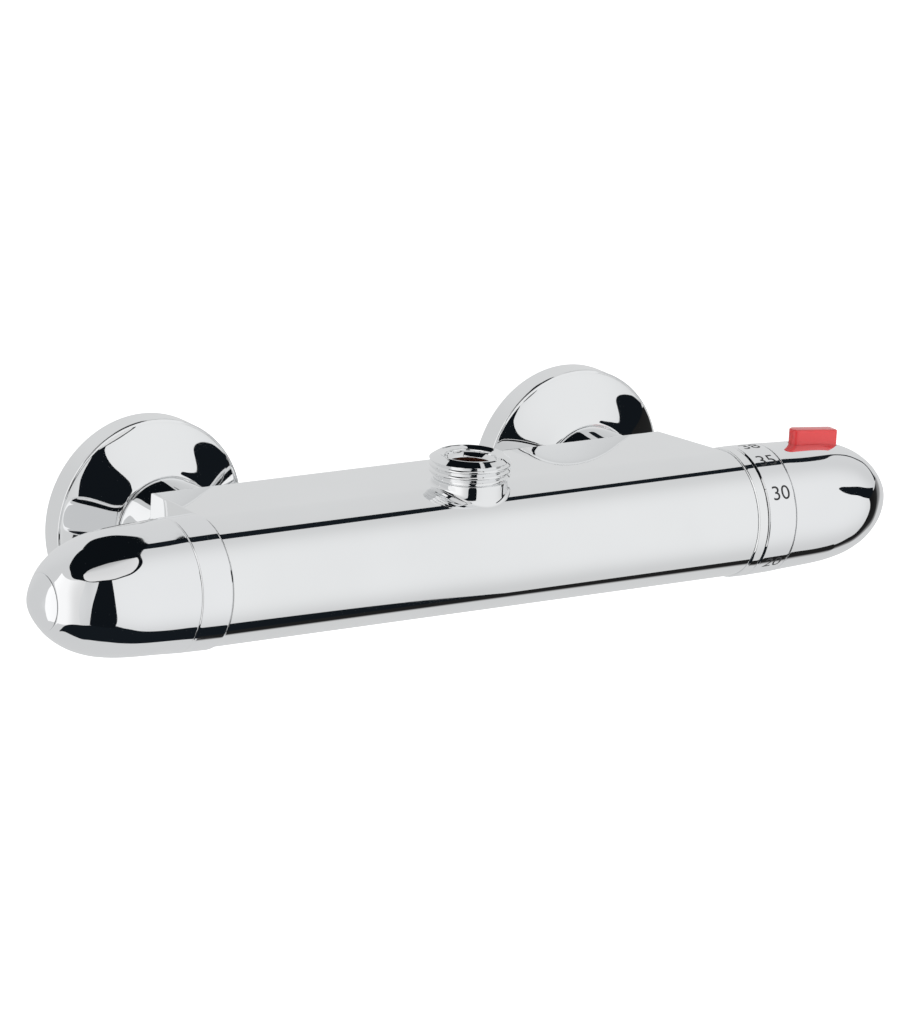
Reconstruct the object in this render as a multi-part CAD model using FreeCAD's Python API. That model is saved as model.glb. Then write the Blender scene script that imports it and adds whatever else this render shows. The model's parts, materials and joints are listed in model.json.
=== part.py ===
import FreeCAD, Part
import os, math

# Wall-mounted bar thermostatic shower valve.
# Millimetres. +X along the bar towards the temperature handle, +Y into the
# wall, +Z up. Origin: on the wall plane, midway between the two inlets, at
# the height of the bar's axis.

V = FreeCAD.Vector

# ---------------------------------------------------------------- dimensions
INLET_CC = 150.0          # distance between the inlet centres
BAR_Y = -65.75            # bar axis to the wall plane
BAR_R = 19.12             # bar radius
BODY_XL = -93.16          # left end of the casting
BODY_XR = 89.74           # right end of the casting
COLLAR_X = 93.16          # outer face of the fixed collar ring
BLOCK_Y = -32.0           # rear face of the casting
BLOCK_ZR = 17.6           # half height of the casting at its rear face
BLOCK_XL_R = -90.4        # left rear corner
BLOCK_XR_R = 87.0         # right rear corner
EDGE_R = 3.0              # rounding of the rear edges

OUT_X = -2.2              # outlet axis
OUT_R = 12.05             # thread major radius
OUT_ZTOP = 28.3           # top of the outlet nipple
OUT_NECK_R = 11.25        # plain neck under the thread
OUT_Z0, OUT_Z1 = 22.1, 26.7   # ends of the threaded length
OUT_BORE_R = 7.5
OUT_DEEP_R = 6.2
FOOT_R = 2.0              # flare at the foot of the outlet

ROS_R = 31.39             # rosette radius
ROS_RIM = 7.6             # straight rim depth
ROS_Y = -15.60            # front of the rosette
ROS_HOLE_R = 15.8
ROS_T = 1.2

NUT_R = 15.7             # union nut
NUT_Y0, NUT_Y1 = -31.8, -12.5
G34_R = 13.22             # G 3/4 major radius
G12_R = 10.48             # G 1/2 major radius
ECC = -10.0               # offset of the wall tails from the union centres
TAIL_Y = 18.0             # length of the tails behind the wall plane

GAP_X = 93.46             # inner end of each handle
BAND_X = 103.60           # end of the plain band
SHELL_X = 103.74          # start of the rounded grip
TIP_X = 148.75
CAP_X = 144.25
CAP_R = 8.5
WALL = 2.3

CART_R = 15.5             # cartridge bore
HEAD_R = 12.0             # headwork bore
MIX_R = 7.0               # mixed-water bore

BTN_X0, BTN_X1 = 113.6, 129.9   # safety button, along the bar
BTN_W = 4.2

# half profile of the rounded grip: distance from the middle, radius
GRIP = [(103.74, 19.47), (108.8, 19.18), (113.9, 18.97), (119.0, 18.73),
        (124.1, 18.28), (126.6, 17.90), (129.2, 17.39), (131.7, 16.70),
        (134.2, 15.78), (136.8, 14.58), (139.3, 13.01), (141.9, 10.98),
        (144.25, 8.50)]
CAPP = [(144.25, 8.45), (145.6, 6.8), (146.7, 5.2), (147.6, 3.65), (148.25, 2.2), (148.62, 1.0), (148.75, 0.0)]

os.makedirs("parts", exist_ok=True)
NODES = {}


# ------------------------------------------------------------------- helpers
def face_from(edges):
    return Part.Face(Part.Wire(edges))


def seg(p, q):
    return Part.LineSegment(p, q).toShape()


def spl(pts, t0=None, t1=None):
    b = Part.BSplineCurve()
    if t0 is not None:
        b.interpolate(pts, InitialTangent=t0, FinalTangent=t1)
    else:
        b.interpolate(pts)
    return b.toShape()


def rev(pts, axis, c=(0, 0, 0)):
    """Closed polygon of (station, radius) turned about a line along axis."""
    c = V(*c)
    if axis == "x":
        P = [V(a, c.y, c.z + r) for a, r in pts]
        d = V(1, 0, 0)
    elif axis == "y":
        P = [V(c.x, a, c.z + r) for a, r in pts]
        d = V(0, 1, 0)
    else:
        P = [V(c.x + r, c.y, a) for a, r in pts]
        d = V(0, 0, 1)
    f = Part.Face(Part.makePolygon(P + [P[0]]))
    s = f.revolve(c, d, 360)
    return Part.Solid(s) if s.ShapeType != "Solid" else s


def bar(pts):
    return rev(pts, "x", (0, BAR_Y, 0))


def tube_x(x0, x1, ro, ri=0.0):
    s = Part.makeCylinder(ro, x1 - x0, V(x0, BAR_Y, 0), V(1, 0, 0))
    if ri > 0:
        s = s.cut(Part.makeCylinder(ri, x1 - x0 + 2, V(x0 - 1, BAR_Y, 0), V(1, 0, 0)))
    return s


def cyl(p, d, r, h):
    return Part.makeCylinder(r, h, V(*p), V(*d))


def box(x0, x1, y0, y1, z0, z1):
    return Part.makeBox(x1 - x0, y1 - y0, z1 - z0, V(x0, y0, z0))


def ring(major, minor, c, d):
    return Part.makeTorus(major, minor, V(*c), V(*d))


def between(p, q, r):
    p, q = V(*p), V(*q)
    d = q.sub(p)
    return Part.makeCylinder(r, d.Length, p, d)


def mirx(s):
    return s.mirror(V(0, 0, 0), V(1, 0, 0))


def one(s):
    s = s.removeSplitter() if hasattr(s, "removeSplitter") else s
    so = s.Solids
    if len(so) == 1:
        return so[0]
    so.sort(key=lambda a: -a.Volume)
    return so[0]


def spring(p, d, length, r, wire, turns):
    """Round-wire compression spring along d from p, inside its length: a chain
    of tilted half rings whose ends are tangent to each other."""
    n = int(round(2 * turns))
    step = (length - 2 * wire) / n
    arcs = []
    for i in range(n):
        k = 1 if i % 2 == 0 else -1
        z = wire + i * step
        arcs.append(Part.Arc(V(k * r, 0, z), V(0, k * math.hypot(r, step / 2), z + step / 2),
                             V(-k * r, 0, z + step)).toShape())
    prof = Part.Wire([Part.makeCircle(wire, V(r, 0, wire), V(0, 1, 0))])
    s = Part.Wire(arcs).makePipeShell([prof], True, True)
    rot = FreeCAD.Rotation(V(0, 0, 1), V(*d))
    s.Placement = FreeCAD.Placement(V(*p), rot).multiply(s.Placement)
    return s


def star(n, ro, ri, x0, x1):
    P = []
    for i in range(n):
        for k, r in ((0.0, ri), (0.22, ro), (0.5, ro), (0.72, ri)):
            a = 2 * math.pi * (i + k) / n
            P.append(V(x0, BAR_Y + r * math.cos(a), r * math.sin(a)))
    return Part.Face(Part.makePolygon(P + [P[0]])).extrude(V(x1 - x0, 0, 0))


def add(name, shape):
    NODES[name] = shape


# ---------------------------------------------------------------- main casting
def make_body():
    # bar with the block behind it: round in front, flat above and below,
    # tangent to the bar and closing in slightly to the rear
    a, d = V(BODY_XL, BAR_Y, BAR_R), V(BODY_XL, BAR_Y, -BAR_R)
    p, q = V(BODY_XL, BLOCK_Y, BLOCK_ZR), V(BODY_XL, BLOCK_Y, -BLOCK_ZR)
    arc = Part.Arc(d, V(BODY_XL, BAR_Y - BAR_R, 0), a).toShape()
    b = face_from([seg(a, p), seg(p, q), seg(q, d), arc]).extrude(V(BODY_XR - BODY_XL, 0, 0))
    pl = [V(BODY_XL, BAR_Y, -30), V(BODY_XL, BAR_Y - 30, -30), V(BODY_XR, BAR_Y - 30, -30),
          V(BODY_XR, BAR_Y, -30), V(BLOCK_XR_R, BLOCK_Y, -30), V(BLOCK_XR_R, BLOCK_Y + 5, -30),
          V(BLOCK_XL_R, BLOCK_Y + 5, -30), V(BLOCK_XL_R, BLOCK_Y, -30)]
    b = b.common(Part.Face(Part.makePolygon(pl + [pl[0]])).extrude(V(0, 0, 60)))
    b = b.makeFillet(EDGE_R, [e for e in b.Edges if e.CenterOfMass.y > BLOCK_Y - 0.2])
    # outlet nipple standing on the bar, with a flared foot
    nip = rev([(8.0, 0.0), (8.0, OUT_NECK_R), (20.2, OUT_NECK_R), (20.6, 10.7), (21.5, 10.7), (OUT_Z0, OUT_R),
               (OUT_Z1, OUT_R), (28.1, 10.1), (OUT_ZTOP, 9.6), (OUT_ZTOP, 0.0)], "z", (OUT_X, BAR_Y, 0))
    b = b.fuse(nip)
    b = b.makeFillet(FOOT_R, [e for e in b.Edges if abs(e.CenterOfMass.x - OUT_X) < 14 and
                              abs(e.CenterOfMass.y - BAR_Y) < 14 and 14 < e.CenterOfMass.z < 20])
    # outlet bore with its chamfer
    b = b.cut(rev([(11.5, 0), (11.5, OUT_DEEP_R), (25.5, OUT_DEEP_R), (26.6, OUT_BORE_R), (27.5, 7.65),
                   (28.2, 9.3), (OUT_ZTOP + 0.01, 9.45), (OUT_ZTOP + 1, 9.45), (OUT_ZTOP + 1, 0)],
                  "z", (OUT_X, BAR_Y, 0)))
    # cartridge, mixed-water and headwork bores along the bar
    b = b.cut(bar([(38, 0), (38, CART_R), (BODY_XR + 1, CART_R), (BODY_XR + 1, 0)]))
    b = b.cut(tube_x(-48.5, 38.5, MIX_R))
    b = b.cut(tube_x(BODY_XL - 1, -48, HEAD_R))
    b = b.cut(tube_x(BODY_XL - 1, -89.0, CART_R))
    # inlet sockets in the rear face
    for s in (-1, 1):
        b = b.cut(cyl((s * INLET_CC / 2, -41, 0), (0, 1, 0), G12_R + 0.02, 12))
    # hot inlet chamber and hot gallery to the cartridge
    b = b.cut(cyl((-75, -50, 0), (0, 1, 0), 8.0, 10))
    b = b.cut(between((-75, -46, -11), (56.5, -46, -11), 4.5))
    b = b.cut(between((56.5, -44, -12), (56.5, BAR_Y, 0), 4.5))
    b = b.cut(between((-75, -47, -4), (-75, -46, -11.0), 4.5))
    # cold inlet chamber straight into the cartridge bore
    b = b.cut(cyl((75, -44, 0), (0, 1, 0), 8.0, 4))
    b = b.cut(cyl((75, -55, 0), (0, 1, 0), 5.0, 12))
    # mixed-water gallery from the headwork to the outlet
    b = b.cut(between((-59.5, -46, 11), (OUT_X, -46, 11), 4.5))
    b = b.cut(between((-59.5, -44.5, 11.8), (-59.5, BAR_Y, 0), 4.5))
    b = b.cut(between((OUT_X, -44.5, 11), (OUT_X, BAR_Y, 14.5), 4.0))
    return b.Solids[0]


add("body_casting", make_body())
add("temp_collar_ring", bar([(BODY_XR + 0.05, CART_R + 0.05), (BODY_XR + 0.05, 19.05),
                             (BODY_XR + 0.45, 19.45), (COLLAR_X - 0.35, 19.7),
                             (COLLAR_X, 19.4), (COLLAR_X, 13.2), (91.2, 13.2),
                             (91.2, CART_R + 0.05)]))


# --------------------------------------------------------------- inlet groups
def make_rosette(cx):
    c = V(cx, 0, 0)
    # rounded rim, nearly straight cone, flatter lip round the hole for the nut
    out = [(-ROS_RIM, ROS_R - 0.7), (-7.873, 30.3), (-8.431, 29.4), (-9.176, 28.1), (-10.335, 26.0),
           (-11.425, 24.0), (-12.642, 21.8), (-13.83, 19.7), (-14.675, 18.2), (-15.26, 17.1),
           (-15.54, 16.5), (-15.66, 16.15)]
    P = [V(cx, y, r) for y, r in out]
    inn = []
    for i, (y, r) in enumerate(out):
        y0, r0 = out[max(i - 1, 0)]
        y1, r1 = out[min(i + 1, len(out) - 1)]
        dy, dr = y1 - y0, r1 - r0
        L = math.hypot(dy, dr)
        inn.append((y - dr / L * ROS_T, r + dy / L * ROS_T))
    inn = [inn[0]] + inn[2:-3:2] + [(ROS_Y + 1.2, ROS_HOLE_R)]
    Q = [V(cx, y, r) for y, r in inn]
    lip = V(cx, ROS_Y + 0.14, ROS_HOLE_R)
    e = [seg(V(cx, 0, ROS_R), V(cx, -ROS_RIM + 0.7, ROS_R)),
         spl([V(cx, -ROS_RIM + 0.7, ROS_R), V(cx, -ROS_RIM + 0.2, ROS_R - 0.2), P[0]]),
         spl(P), seg(P[-1], lip), seg(lip, Q[-1]), spl(Q[::-1]),
         seg(Q[0], V(cx, -ROS_RIM + 1.0, ROS_R - ROS_T)),
         seg(V(cx, -ROS_RIM + 1.0, ROS_R - ROS_T), V(cx, 0, ROS_R - ROS_T)),
         seg(V(cx, 0, ROS_R - ROS_T), V(cx, 0, ROS_R))]
    f = face_from(e)
    return f.revolve(c, V(0, 1, 0), 360)


for tag, cx in (("hot", -INLET_CC / 2), ("cold", INLET_CC / 2)):
    c = (cx, 0, 0)
    # threaded spigot in the casting with the flange that the nut pulls on
    add(tag + "_inlet_spigot", rev([(-40.7, 7.5), (-40.7, 10.0), (-40.2, 10.46), (-32.3, 10.46),
                                    (-31.9, 10.2), (-25.6, 10.2), (-25.6, 12.9), (-22.6, 12.9),
                                    (-22.6, 7.5)], "y", c))
    w = rev([(-22.6, 7.2), (-22.6, 12.8), (-20.6, 12.8), (-20.6, 7.2)], "y", c)
    add(tag + "_filter_washer", w)
    mesh = rev([(-22.1, 0), (-22.1, 7.2), (-21.8, 7.2), (-21.8, 0)], "y", c)
    for i in range(-3, 4):
        for k in range(-3, 4):
            if math.hypot(i, k) * 1.7 < 6.0:
                mesh = mesh.cut(box(cx + i * 1.7 - 0.6, cx + i * 1.7 + 0.6, -23, -21,
                                    k * 1.7 - 0.6, k * 1.7 + 0.6))
    add(tag + "_filter_screen", mesh)
    # eccentric union: front male thread, offset middle, tail in the wall
    u = cyl((cx, -20.6, 0), (0, 1, 0), G34_R, 12.6)
    mid = cyl((cx, -9, 0), (0, 1, 0), 13.6, 8.4)
    mid = mid.fuse(cyl((cx, -9, ECC), (0, 1, 0), 13.6, 8.4))
    mid = mid.fuse(box(cx - 13.6, cx + 13.6, -9, -0.6, ECC, 0))
    u = u.fuse(mid).fuse(cyl((cx, -2, ECC), (0, 1, 0), G12_R, TAIL_Y + 2 - 0.0))
    u = u.cut(cyl((cx, -21, 0), (0, 1, 0), 8.0, 18.0))
    u = u.cut(cyl((cx, -7.5, ECC), (0, 1, 0), 7.5, TAIL_Y + 8.5))
    add(tag + "_s_union", one(u))
    add(tag + "_rosette", make_rosette(cx))
    add(tag + "_union_nut", rev([(NUT_Y0, 10.5), (NUT_Y0, NUT_R - 1.0), (NUT_Y0 + 0.35, NUT_R - 0.35),
                                 (NUT_Y0 + 1.0, NUT_R), (NUT_Y1 - 0.5, NUT_R), (NUT_Y1, NUT_R - 0.5),
                                 (NUT_Y1, G34_R + 0.04), (-25.8, G34_R + 0.04), (-25.8, 10.5)], "y", c))
    # non-return valve inside the spigot
    h = rev([(-40.0, 6.2), (-40.0, 7.45), (-26.0, 7.45), (-26.0, 4.4), (-27.4, 4.4), (-27.4, 6.2)], "y", c)
    for a in (0, 90):
        sp = box(cx - 6.6, cx + 6.6, -40.0, -38.6, -0.8, 0.8)
        sp.rotate(V(cx, 0, 0), V(0, 1, 0), a)
        h = h.fuse(sp)
    h = h.fuse(cyl((cx, -40, 0), (0, 1, 0), 2.6, 1.4)).cut(cyl((cx, -41, 0), (0, 1, 0), 1.27, 4))
    add(tag + "_check_housing", one(h))
    add(tag + "_check_poppet", rev([(-41.0, 0), (-41.0, 1.2), (-29.2, 1.2), (-29.0, 5.2), (-28.2, 5.6),
                                    (-27.5, 5.2), (-27.5, 0)], "y", c))
    add(tag + "_check_spring", spring((cx, -38.55, 0), (0, 1, 0), 9.2, 3.0, 0.3, 5))


# --------------------------------------------------------------- handle parts
def grip_shell(slot):
    P = [V(x, BAR_Y, r) for x, r in GRIP]
    inn = [(SHELL_X, 19.47 - WALL), (113.9, 18.97 - WALL), (124.1, 18.28 - WALL),
           (129.2, 17.39 - WALL - 0.1), (134.0, 15.86 - WALL - 0.5)]
    Q = [V(x, BAR_Y, r) for x, r in inn]
    pts = [P[-1], V(CAP_X, BAR_Y, 7.4), V(137.5, BAR_Y, 7.4), V(137.5, BAR_Y, 2.2),
           V(134.0, BAR_Y, 2.2), V(134.0, BAR_Y, 4.6), V(119.2, BAR_Y, 4.6),
           V(119.2, BAR_Y, 7.05), V(108.6, BAR_Y, 7.05), V(108.6, BAR_Y, 9.3),
           V(134.0, BAR_Y, 9.3), Q[-1]]
    e = [spl(P)] + [seg(pts[i], pts[i + 1]) for i in range(len(pts) - 1)]
    e += [spl(Q[::-1]), seg(Q[0], P[0])]
    s = face_from(e).revolve(V(0, BAR_Y, 0), V(1, 0, 0), 360)
    if slot:
        w = BTN_W / 2 + 0.2
        s = s.cut(rounded_slot(BTN_X0 - 0.2, BTN_X1 + 0.2, w, 11.0, 26.0, 0.8))
    return s if s.ShapeType == "Solid" else one(s)


def rounded_slot(x0, x1, w, z0, z1, ry=0.6):
    """Vertical prism: round at its inner end, small corners at its outer end."""
    b = box(x0 + w, x1, BAR_Y - w, BAR_Y + w, z0, z1)
    es = [e for e in b.Edges if abs(e.CenterOfMass.x - x1) < 1e-6 and abs(e.Vertexes[0].Z - e.Vertexes[-1].Z) > 1]
    b = b.makeFillet(ry, es)
    return b.fuse(cyl((x0 + w, BAR_Y, z0), (0, 0, 1), w, z1 - z0)).removeSplitter()


def handle_cap():
    P = [V(x, BAR_Y, r) for x, r in CAPP]
    P[0] = V(CAP_X + 0.1, BAR_Y, 8.35)
    pts = [V(TIP_X, BAR_Y, 0), V(145.6, BAR_Y, 0), V(145.0, BAR_Y, 5.7), V(139.6, BAR_Y, 5.9),
           V(139.6, BAR_Y, 7.35), V(CAP_X + 0.1, BAR_Y, 7.35), P[0]]
    e = [spl(P)] + [seg(pts[i], pts[i + 1]) for i in range(len(pts) - 1)]
    s = face_from(e).revolve(V(0, BAR_Y, 0), V(1, 0, 0), 360)
    return s if s.ShapeType == "Solid" else one(s)


def handle_screw():
    s = bar([(110.0, 0), (110.0, 1.6), (110.5, 2.0), (137.5, 2.0), (137.5, 3.5), (139.4, 3.5),
             (140.2, 2.8), (140.2, 0)])
    P = [V(138.4, BAR_Y + 1.5 * math.cos(math.pi * i / 3), 1.5 * math.sin(math.pi * i / 3)) for i in range(6)]
    return s.cut(Part.Face(Part.makePolygon(P + [P[0]])).extrude(V(3, 0, 0)))


def spline_adapter():
    return one(star(24, 7.0, 6.6, 108.8, 119.0).cut(star(20, 4.06, 3.76, 108, 120)))


def band_ring():
    return bar([(GAP_X, 17.0), (GAP_X, 19.35), (GAP_X + 0.4, 19.68), (BAND_X - 0.3, 19.5), (BAND_X, 19.25),
                (BAND_X, 17.05), (108.0, 16.85), (108.0, 15.95), (BAND_X - 1.2, 15.95), (BAND_X - 2.4, 17.0)])


add("temp_handle_shell", grip_shell(True))
add("flow_handle_shell", mirx(grip_shell(False)))
add("temp_handle_cap", handle_cap())
add("flow_handle_cap", mirx(handle_cap()))
add("temp_handle_screw", handle_screw())
add("flow_handle_screw", mirx(handle_screw()))
add("temp_spline_adapter", spline_adapter())
add("flow_spline_adapter", mirx(spline_adapter()))
add("temp_scale_band", band_ring())

# -------------------------------------------------------- safety-stop button
w = BTN_W / 2
btn = rounded_slot(BTN_X0, BTN_X1, w, 15.0, 26.0)
# gently arched top, falling towards the tip of the handle
top = [V(112, BAR_Y - 5, 23.6), V(115, BAR_Y - 5, 23.65), V(119, BAR_Y - 5, 23.5), V(124, BAR_Y - 5, 23.1),
       V(128, BAR_Y - 5, 22.6), V(132, BAR_Y - 5, 22.0)]
e = [spl(top), seg(top[-1], V(132, BAR_Y - 5, 28)), seg(V(132, BAR_Y - 5, 28), V(112, BAR_Y - 5, 28)),
     seg(V(112, BAR_Y - 5, 28), top[0])]
btn = btn.cut(face_from(e).extrude(V(0, 10, 0)))
# hollow for the spring, catch ledges under the grip wall, and the stop nose
btn = btn.cut(cyl((125.5, BAR_Y, 14.0), (0, 0, 1), 1.55, 4.6))
btn = btn.fuse(box(114.6, 121.6, BAR_Y - 4.1, BAR_Y + 4.1, 14.4, 15.5))
btn = btn.fuse(box(105.2, 121.6, BAR_Y - 2.5, BAR_Y + 2.5, 12.4, 14.4))
btn = btn.fuse(box(115.6, 121.6, BAR_Y - 3.0, BAR_Y + 3.0, 13.0, 16.0))
add("safety_button", one(btn))
add("button_spring", spring((125.5, BAR_Y, 9.35), (0, 0, 1), 9.2, 1.15, 0.2, 7))

# ----------------------------------------------------- thermostatic cartridge
hous = bar([(42.0, 11.0), (42.0, 15.3), (43.2, 15.3), (43.2, 13.4), (46.0, 13.4), (46.0, 15.3), (52.0, 15.3),
            (52.0, 13.2), (61.0, 13.2), (61.0, 15.3), (62.6, 15.3), (62.6, 13.4), (65.4, 13.4), (65.4, 15.3),
            (67.0, 15.3), (67.0, 13.2), (80.0, 13.2), (80.0, 15.3), (81.6, 15.3), (81.6, 13.4), (84.4, 13.4),
            (84.4, 15.3), (86.0, 15.3), (86.0, 11.0), (103.0, 11.0), (103.0, 5.57), (96.0, 5.57),
            (96.0, 8.6), (74.0, 8.6), (74.0, 11.0)])
for i in range(6):
    a = math.radians(60 * i + 30)
    d = (0, math.cos(a), math.sin(a))
    hous = hous.cut(cyl((58.2, BAR_Y, 0), d, 2.0, 14))
    hous = hous.cut(cyl((69.2, BAR_Y, 0), d, 2.0, 14))
add("cartridge_housing", one(hous))
ors = [ring(14.43, 0.98, (x, BAR_Y, 0), (1, 0, 0)) for x in (44.6, 64.0, 83.0)]
add("cartridge_o_rings", Part.makeCompound(ors))
fl = []
for x0, x1 in ((52.1, 60.9), (67.1, 79.9)):
    t = tube_x(x0, x1, 15.1, 14.75)
    nrow = int((x1 - x0 - 1.0) / 2.4)
    for k in range(nrow):
        xc = x0 + (x1 - x0) / 2 + (k - (nrow - 1) / 2) * 2.4
        for i in range(9):
            bx = box(xc - 0.8, xc + 0.8, BAR_Y - 2.4, BAR_Y + 2.4, -20, 20)
            bx.rotate(V(xc, BAR_Y, 0), V(1, 0, 0), 20 * i)
            t = t.cut(bx)
    fl.append(one(t))
add("cartridge_filter_sleeves", Part.makeCompound(fl))
add("cartridge_hot_seat", bar([(40.0, 5.5), (40.0, 10.6), (41.9, 10.95), (56.0, 10.95), (56.0, 8.0), (42.0, 8.0), (42.0, 5.5)]))
add("cartridge_cold_seat", bar([(71.0, 2.0), (71.0, 10.95), (73.9, 10.95), (73.9, 2.0)]))
add("cartridge_lock_ring", bar([(86.05, 11.1), (86.05, 15.4), (91.1, 15.4), (91.1, 11.1)]).cut(
    box(89.6, 92, BAR_Y - 17, BAR_Y - 13.4, -2, 2)).cut(box(89.6, 92, BAR_Y + 13.4, BAR_Y + 17, -2, 2)))


def sector(r0, r1, x0, x1, a0, a1):
    """Ring sector about the bar's axis; angles from straight up, positive towards the front."""
    t = tube_x(x0, x1, r1, r0)
    P = [V(x0 - 1, BAR_Y, 0)]
    n = 6
    for i in range(n + 1):
        a = math.radians(a0 + (a1 - a0) * i / n)
        P.append(V(x0 - 1, BAR_Y - 40 * math.sin(a), 40 * math.cos(a)))
    return t.common(Part.Face(Part.makePolygon(P + [P[0]])).extrude(V(x1 - x0 + 2, 0, 0)))


ts = tube_x(96.8, 103.0, 14.6, 11.04)
ts = ts.fuse(sector(12.2, 14.6, 102.9, 107.6, 12.6, 34)).fuse(sector(12.2, 14.6, 102.9, 107.6, -179, -157.6))
add("temp_stop_ring", one(ts))

sh = bar([(57.0, 9.4), (57.0, 10.85), (62.2, 10.85), (62.2, 10.0), (64.8, 10.0), (64.8, 10.85), (70.0, 10.85),
          (70.0, 9.4), (65.5, 9.4), (65.5, 4.0), (62.0, 4.0), (62.0, 9.4)])
for i in range(6):
    a = math.radians(60 * i)
    sh = sh.cut(cyl((61, BAR_Y + 6.7 * math.cos(a), 6.7 * math.sin(a)), (1, 0, 0), 1.7, 6))
add("shuttle_valve", one(sh))
add("shuttle_o_ring", ring(10.48, 0.46, (63.5, BAR_Y, 0), (1, 0, 0)))
add("wax_element", bar([(38.6, 0), (38.6, 3.2), (39.4, 4.0), (52.0, 4.0), (52.0, 4.9), (54.4, 4.9), (54.4, 4.0),
                        (62.0, 3.97), (65.5, 3.97), (65.5, 2.8), (69.6, 2.8), (69.6, 1.53), (58.8, 1.53), (58.8, 0)]))
add("element_piston", bar([(60.2, 0), (60.2, 1.5), (77.5, 1.5), (77.5, 0)]))
add("return_spring", spring((42.05, BAR_Y, 0), (1, 0, 0), 19.9, 6.6, 0.6, 7))
add("pusher_nut", bar([(77.0, 6.0), (77.0, 8.35), (90.0, 8.35), (90.0, 4.56), (84.0, 4.56), (84.0, 6.0)]))
add("overload_cup", bar([(77.5, 0), (77.5, 5.7), (79.2, 5.7), (79.2, 3.2), (81.2, 3.2), (81.2, 0)]))
add("overload_spring", spring((79.25, BAR_Y, 0), (1, 0, 0), 4.7, 4.5, 0.45, 3.5))

rs = bar([(86.8, 0), (86.8, 4.1), (87.3, 4.5), (92.6, 4.5), (92.6, 8.3), (95.9, 8.3), (95.9, 5.5), (98.5, 5.5),
          (98.5, 4.3), (100.3, 4.3), (100.3, 5.5), (103.3, 5.5), (103.3, 4.7), (104.5, 4.7), (104.5, 5.5),
          (106.4, 5.5), (107.0, 4.9), (107.0, 0)])
rs = rs.fuse(star(20, 4.02, 3.72, 106.9, 118.8)).cut(tube_x(108.5, 120, 2.03))
add("regulating_spindle", one(rs))


def circlip(x0, x1, ri, ro):
    return one(tube_x(x0, x1, ro, ri).cut(box(x0 - 1, x1 + 1, BAR_Y - 2.2, BAR_Y + 2.2, -20, 0)))


add("temp_spindle_circlip", circlip(103.4, 104.4, 4.75, 7.6))
add("temp_spindle_o_ring", ring(4.92, 0.6, (99.4, BAR_Y, 0), (1, 0, 0)))

# -------------------------------------------------------------- flow headwork
hw = bar([(-95.2, 5.57), (-95.2, 13.6), (-89.1, 13.6), (-89.1, 11.9), (-76.0, 11.9), (-76.0, 11.0), (-71.6, 11.0),
          (-71.6, 11.9), (-69.0, 11.9), (-69.0, 10.4), (-66.4, 10.4), (-66.4, 11.9), (-64.0, 11.9), (-64.0, 11.0),
          (-51.5, 11.0), (-50.0, 10.5), (-50.0, 9.1), (-62.0, 9.1), (-62.0, 5.57)])
hw = hw.fuse(tube_x(-103.0, -95.1, 9.0, 5.57))
hexa = [V(-97, BAR_Y + 14.6 * math.cos(math.pi * i / 3), 14.6 * math.sin(math.pi * i / 3)) for i in range(6)]
hexp = Part.Face(Part.makePolygon(hexa + [hexa[0]])).extrude(V(8.5, 0, 0))
keep = tube_x(-89.1, -50.0, 12.5).fuse(tube_x(-103.5, -95.1, 9.5)).fuse(hexp)
hw = hw.common(keep)
for i in range(4):
    a = math.radians(45 + 90 * i)
    hw = hw.cut(between((-59.5, BAR_Y + 6 * math.cos(a), 6 * math.sin(a)),
                        (-59.5, BAR_Y + 14 * math.cos(a), 14 * math.sin(a)), 2.2))
add("headwork_body", one(hw))
add("headwork_o_ring", ring(11.2, 0.77, (-67.7, BAR_Y, 0), (1, 0, 0)))
add("headwork_base_seal", tube_x(-49.95, -48.05, 9.0, 6.0))


def windows(s, x0, x1, a0):
    for k in (0, 180):
        s = s.cut(sector(3.0, 7.4, x0 - 1, x1 + 1, a0 + k - 38, a0 + k + 38))
    return s


add("lower_ceramic_disc", one(windows(tube_x(-53.55, -50.0, 9.0), -53.55, -50.0, 0)))
ud = windows(tube_x(-57.1, -53.57, 9.0), -57.1, -53.57, 90)
ud = ud.cut(box(-57.2, -55.4, BAR_Y - 7.7, BAR_Y + 7.7, -1.35, 1.35).fuse(tube_x(-57.2, -55.4, 2.6)))
add("upper_ceramic_disc", one(ud))
hs = bar([(-107.0, 0), (-107.0, 4.9), (-106.4, 5.5), (-104.5, 5.5), (-104.5, 4.7), (-103.3, 4.7), (-103.3, 5.5),
          (-79.0, 5.5), (-79.0, 4.3), (-77.2, 4.3), (-77.2, 5.5), (-61.9, 5.5), (-61.6, 7.6), (-59.9, 7.6), (-59.9, 3.2),
          (-57.15, 3.2), (-57.15, 0)])
hs = hs.fuse(box(-60.2, -57.15, BAR_Y - 7.4, BAR_Y + 7.4, -2.6, 2.6).common(tube_x(-60.5, -57, 7.6)))
hs = hs.fuse(box(-57.6, -55.6, BAR_Y - 7.4, BAR_Y + 7.4, -1.2, 1.2).common(tube_x(-58, -55, 7.55)))
hs = hs.fuse(mirx(star(20, 4.02, 3.72, 106.9, 118.8))).cut(mirx(tube_x(108.5, 120, 2.03)))
add("headwork_spindle", one(hs))
add("flow_spindle_circlip", mirx(circlip(103.4, 104.4, 4.75, 7.6)))
add("flow_spindle_o_ring", ring(4.92, 0.6, (-78.1, BAR_Y, 0), (1, 0, 0)))
# stop ring with the two end stops of the quarter turn, and the stop tab
fs = tube_x(-102.4, -96.8, 14.6, 9.04)
fs = fs.fuse(sector(12.2, 14.6, -107.6, -102.3, 55, 110)).fuse(sector(12.2, 14.6, -107.6, -102.3, -110, -55))
add("flow_stop_ring", one(fs))
# band of the flow handle with the tab that meets the end stops
add("flow_handle_ring", one(mirx(band_ring()).fuse(sector(12.4, 16.3, -107.4, -104.0, -54, -36))))

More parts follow.
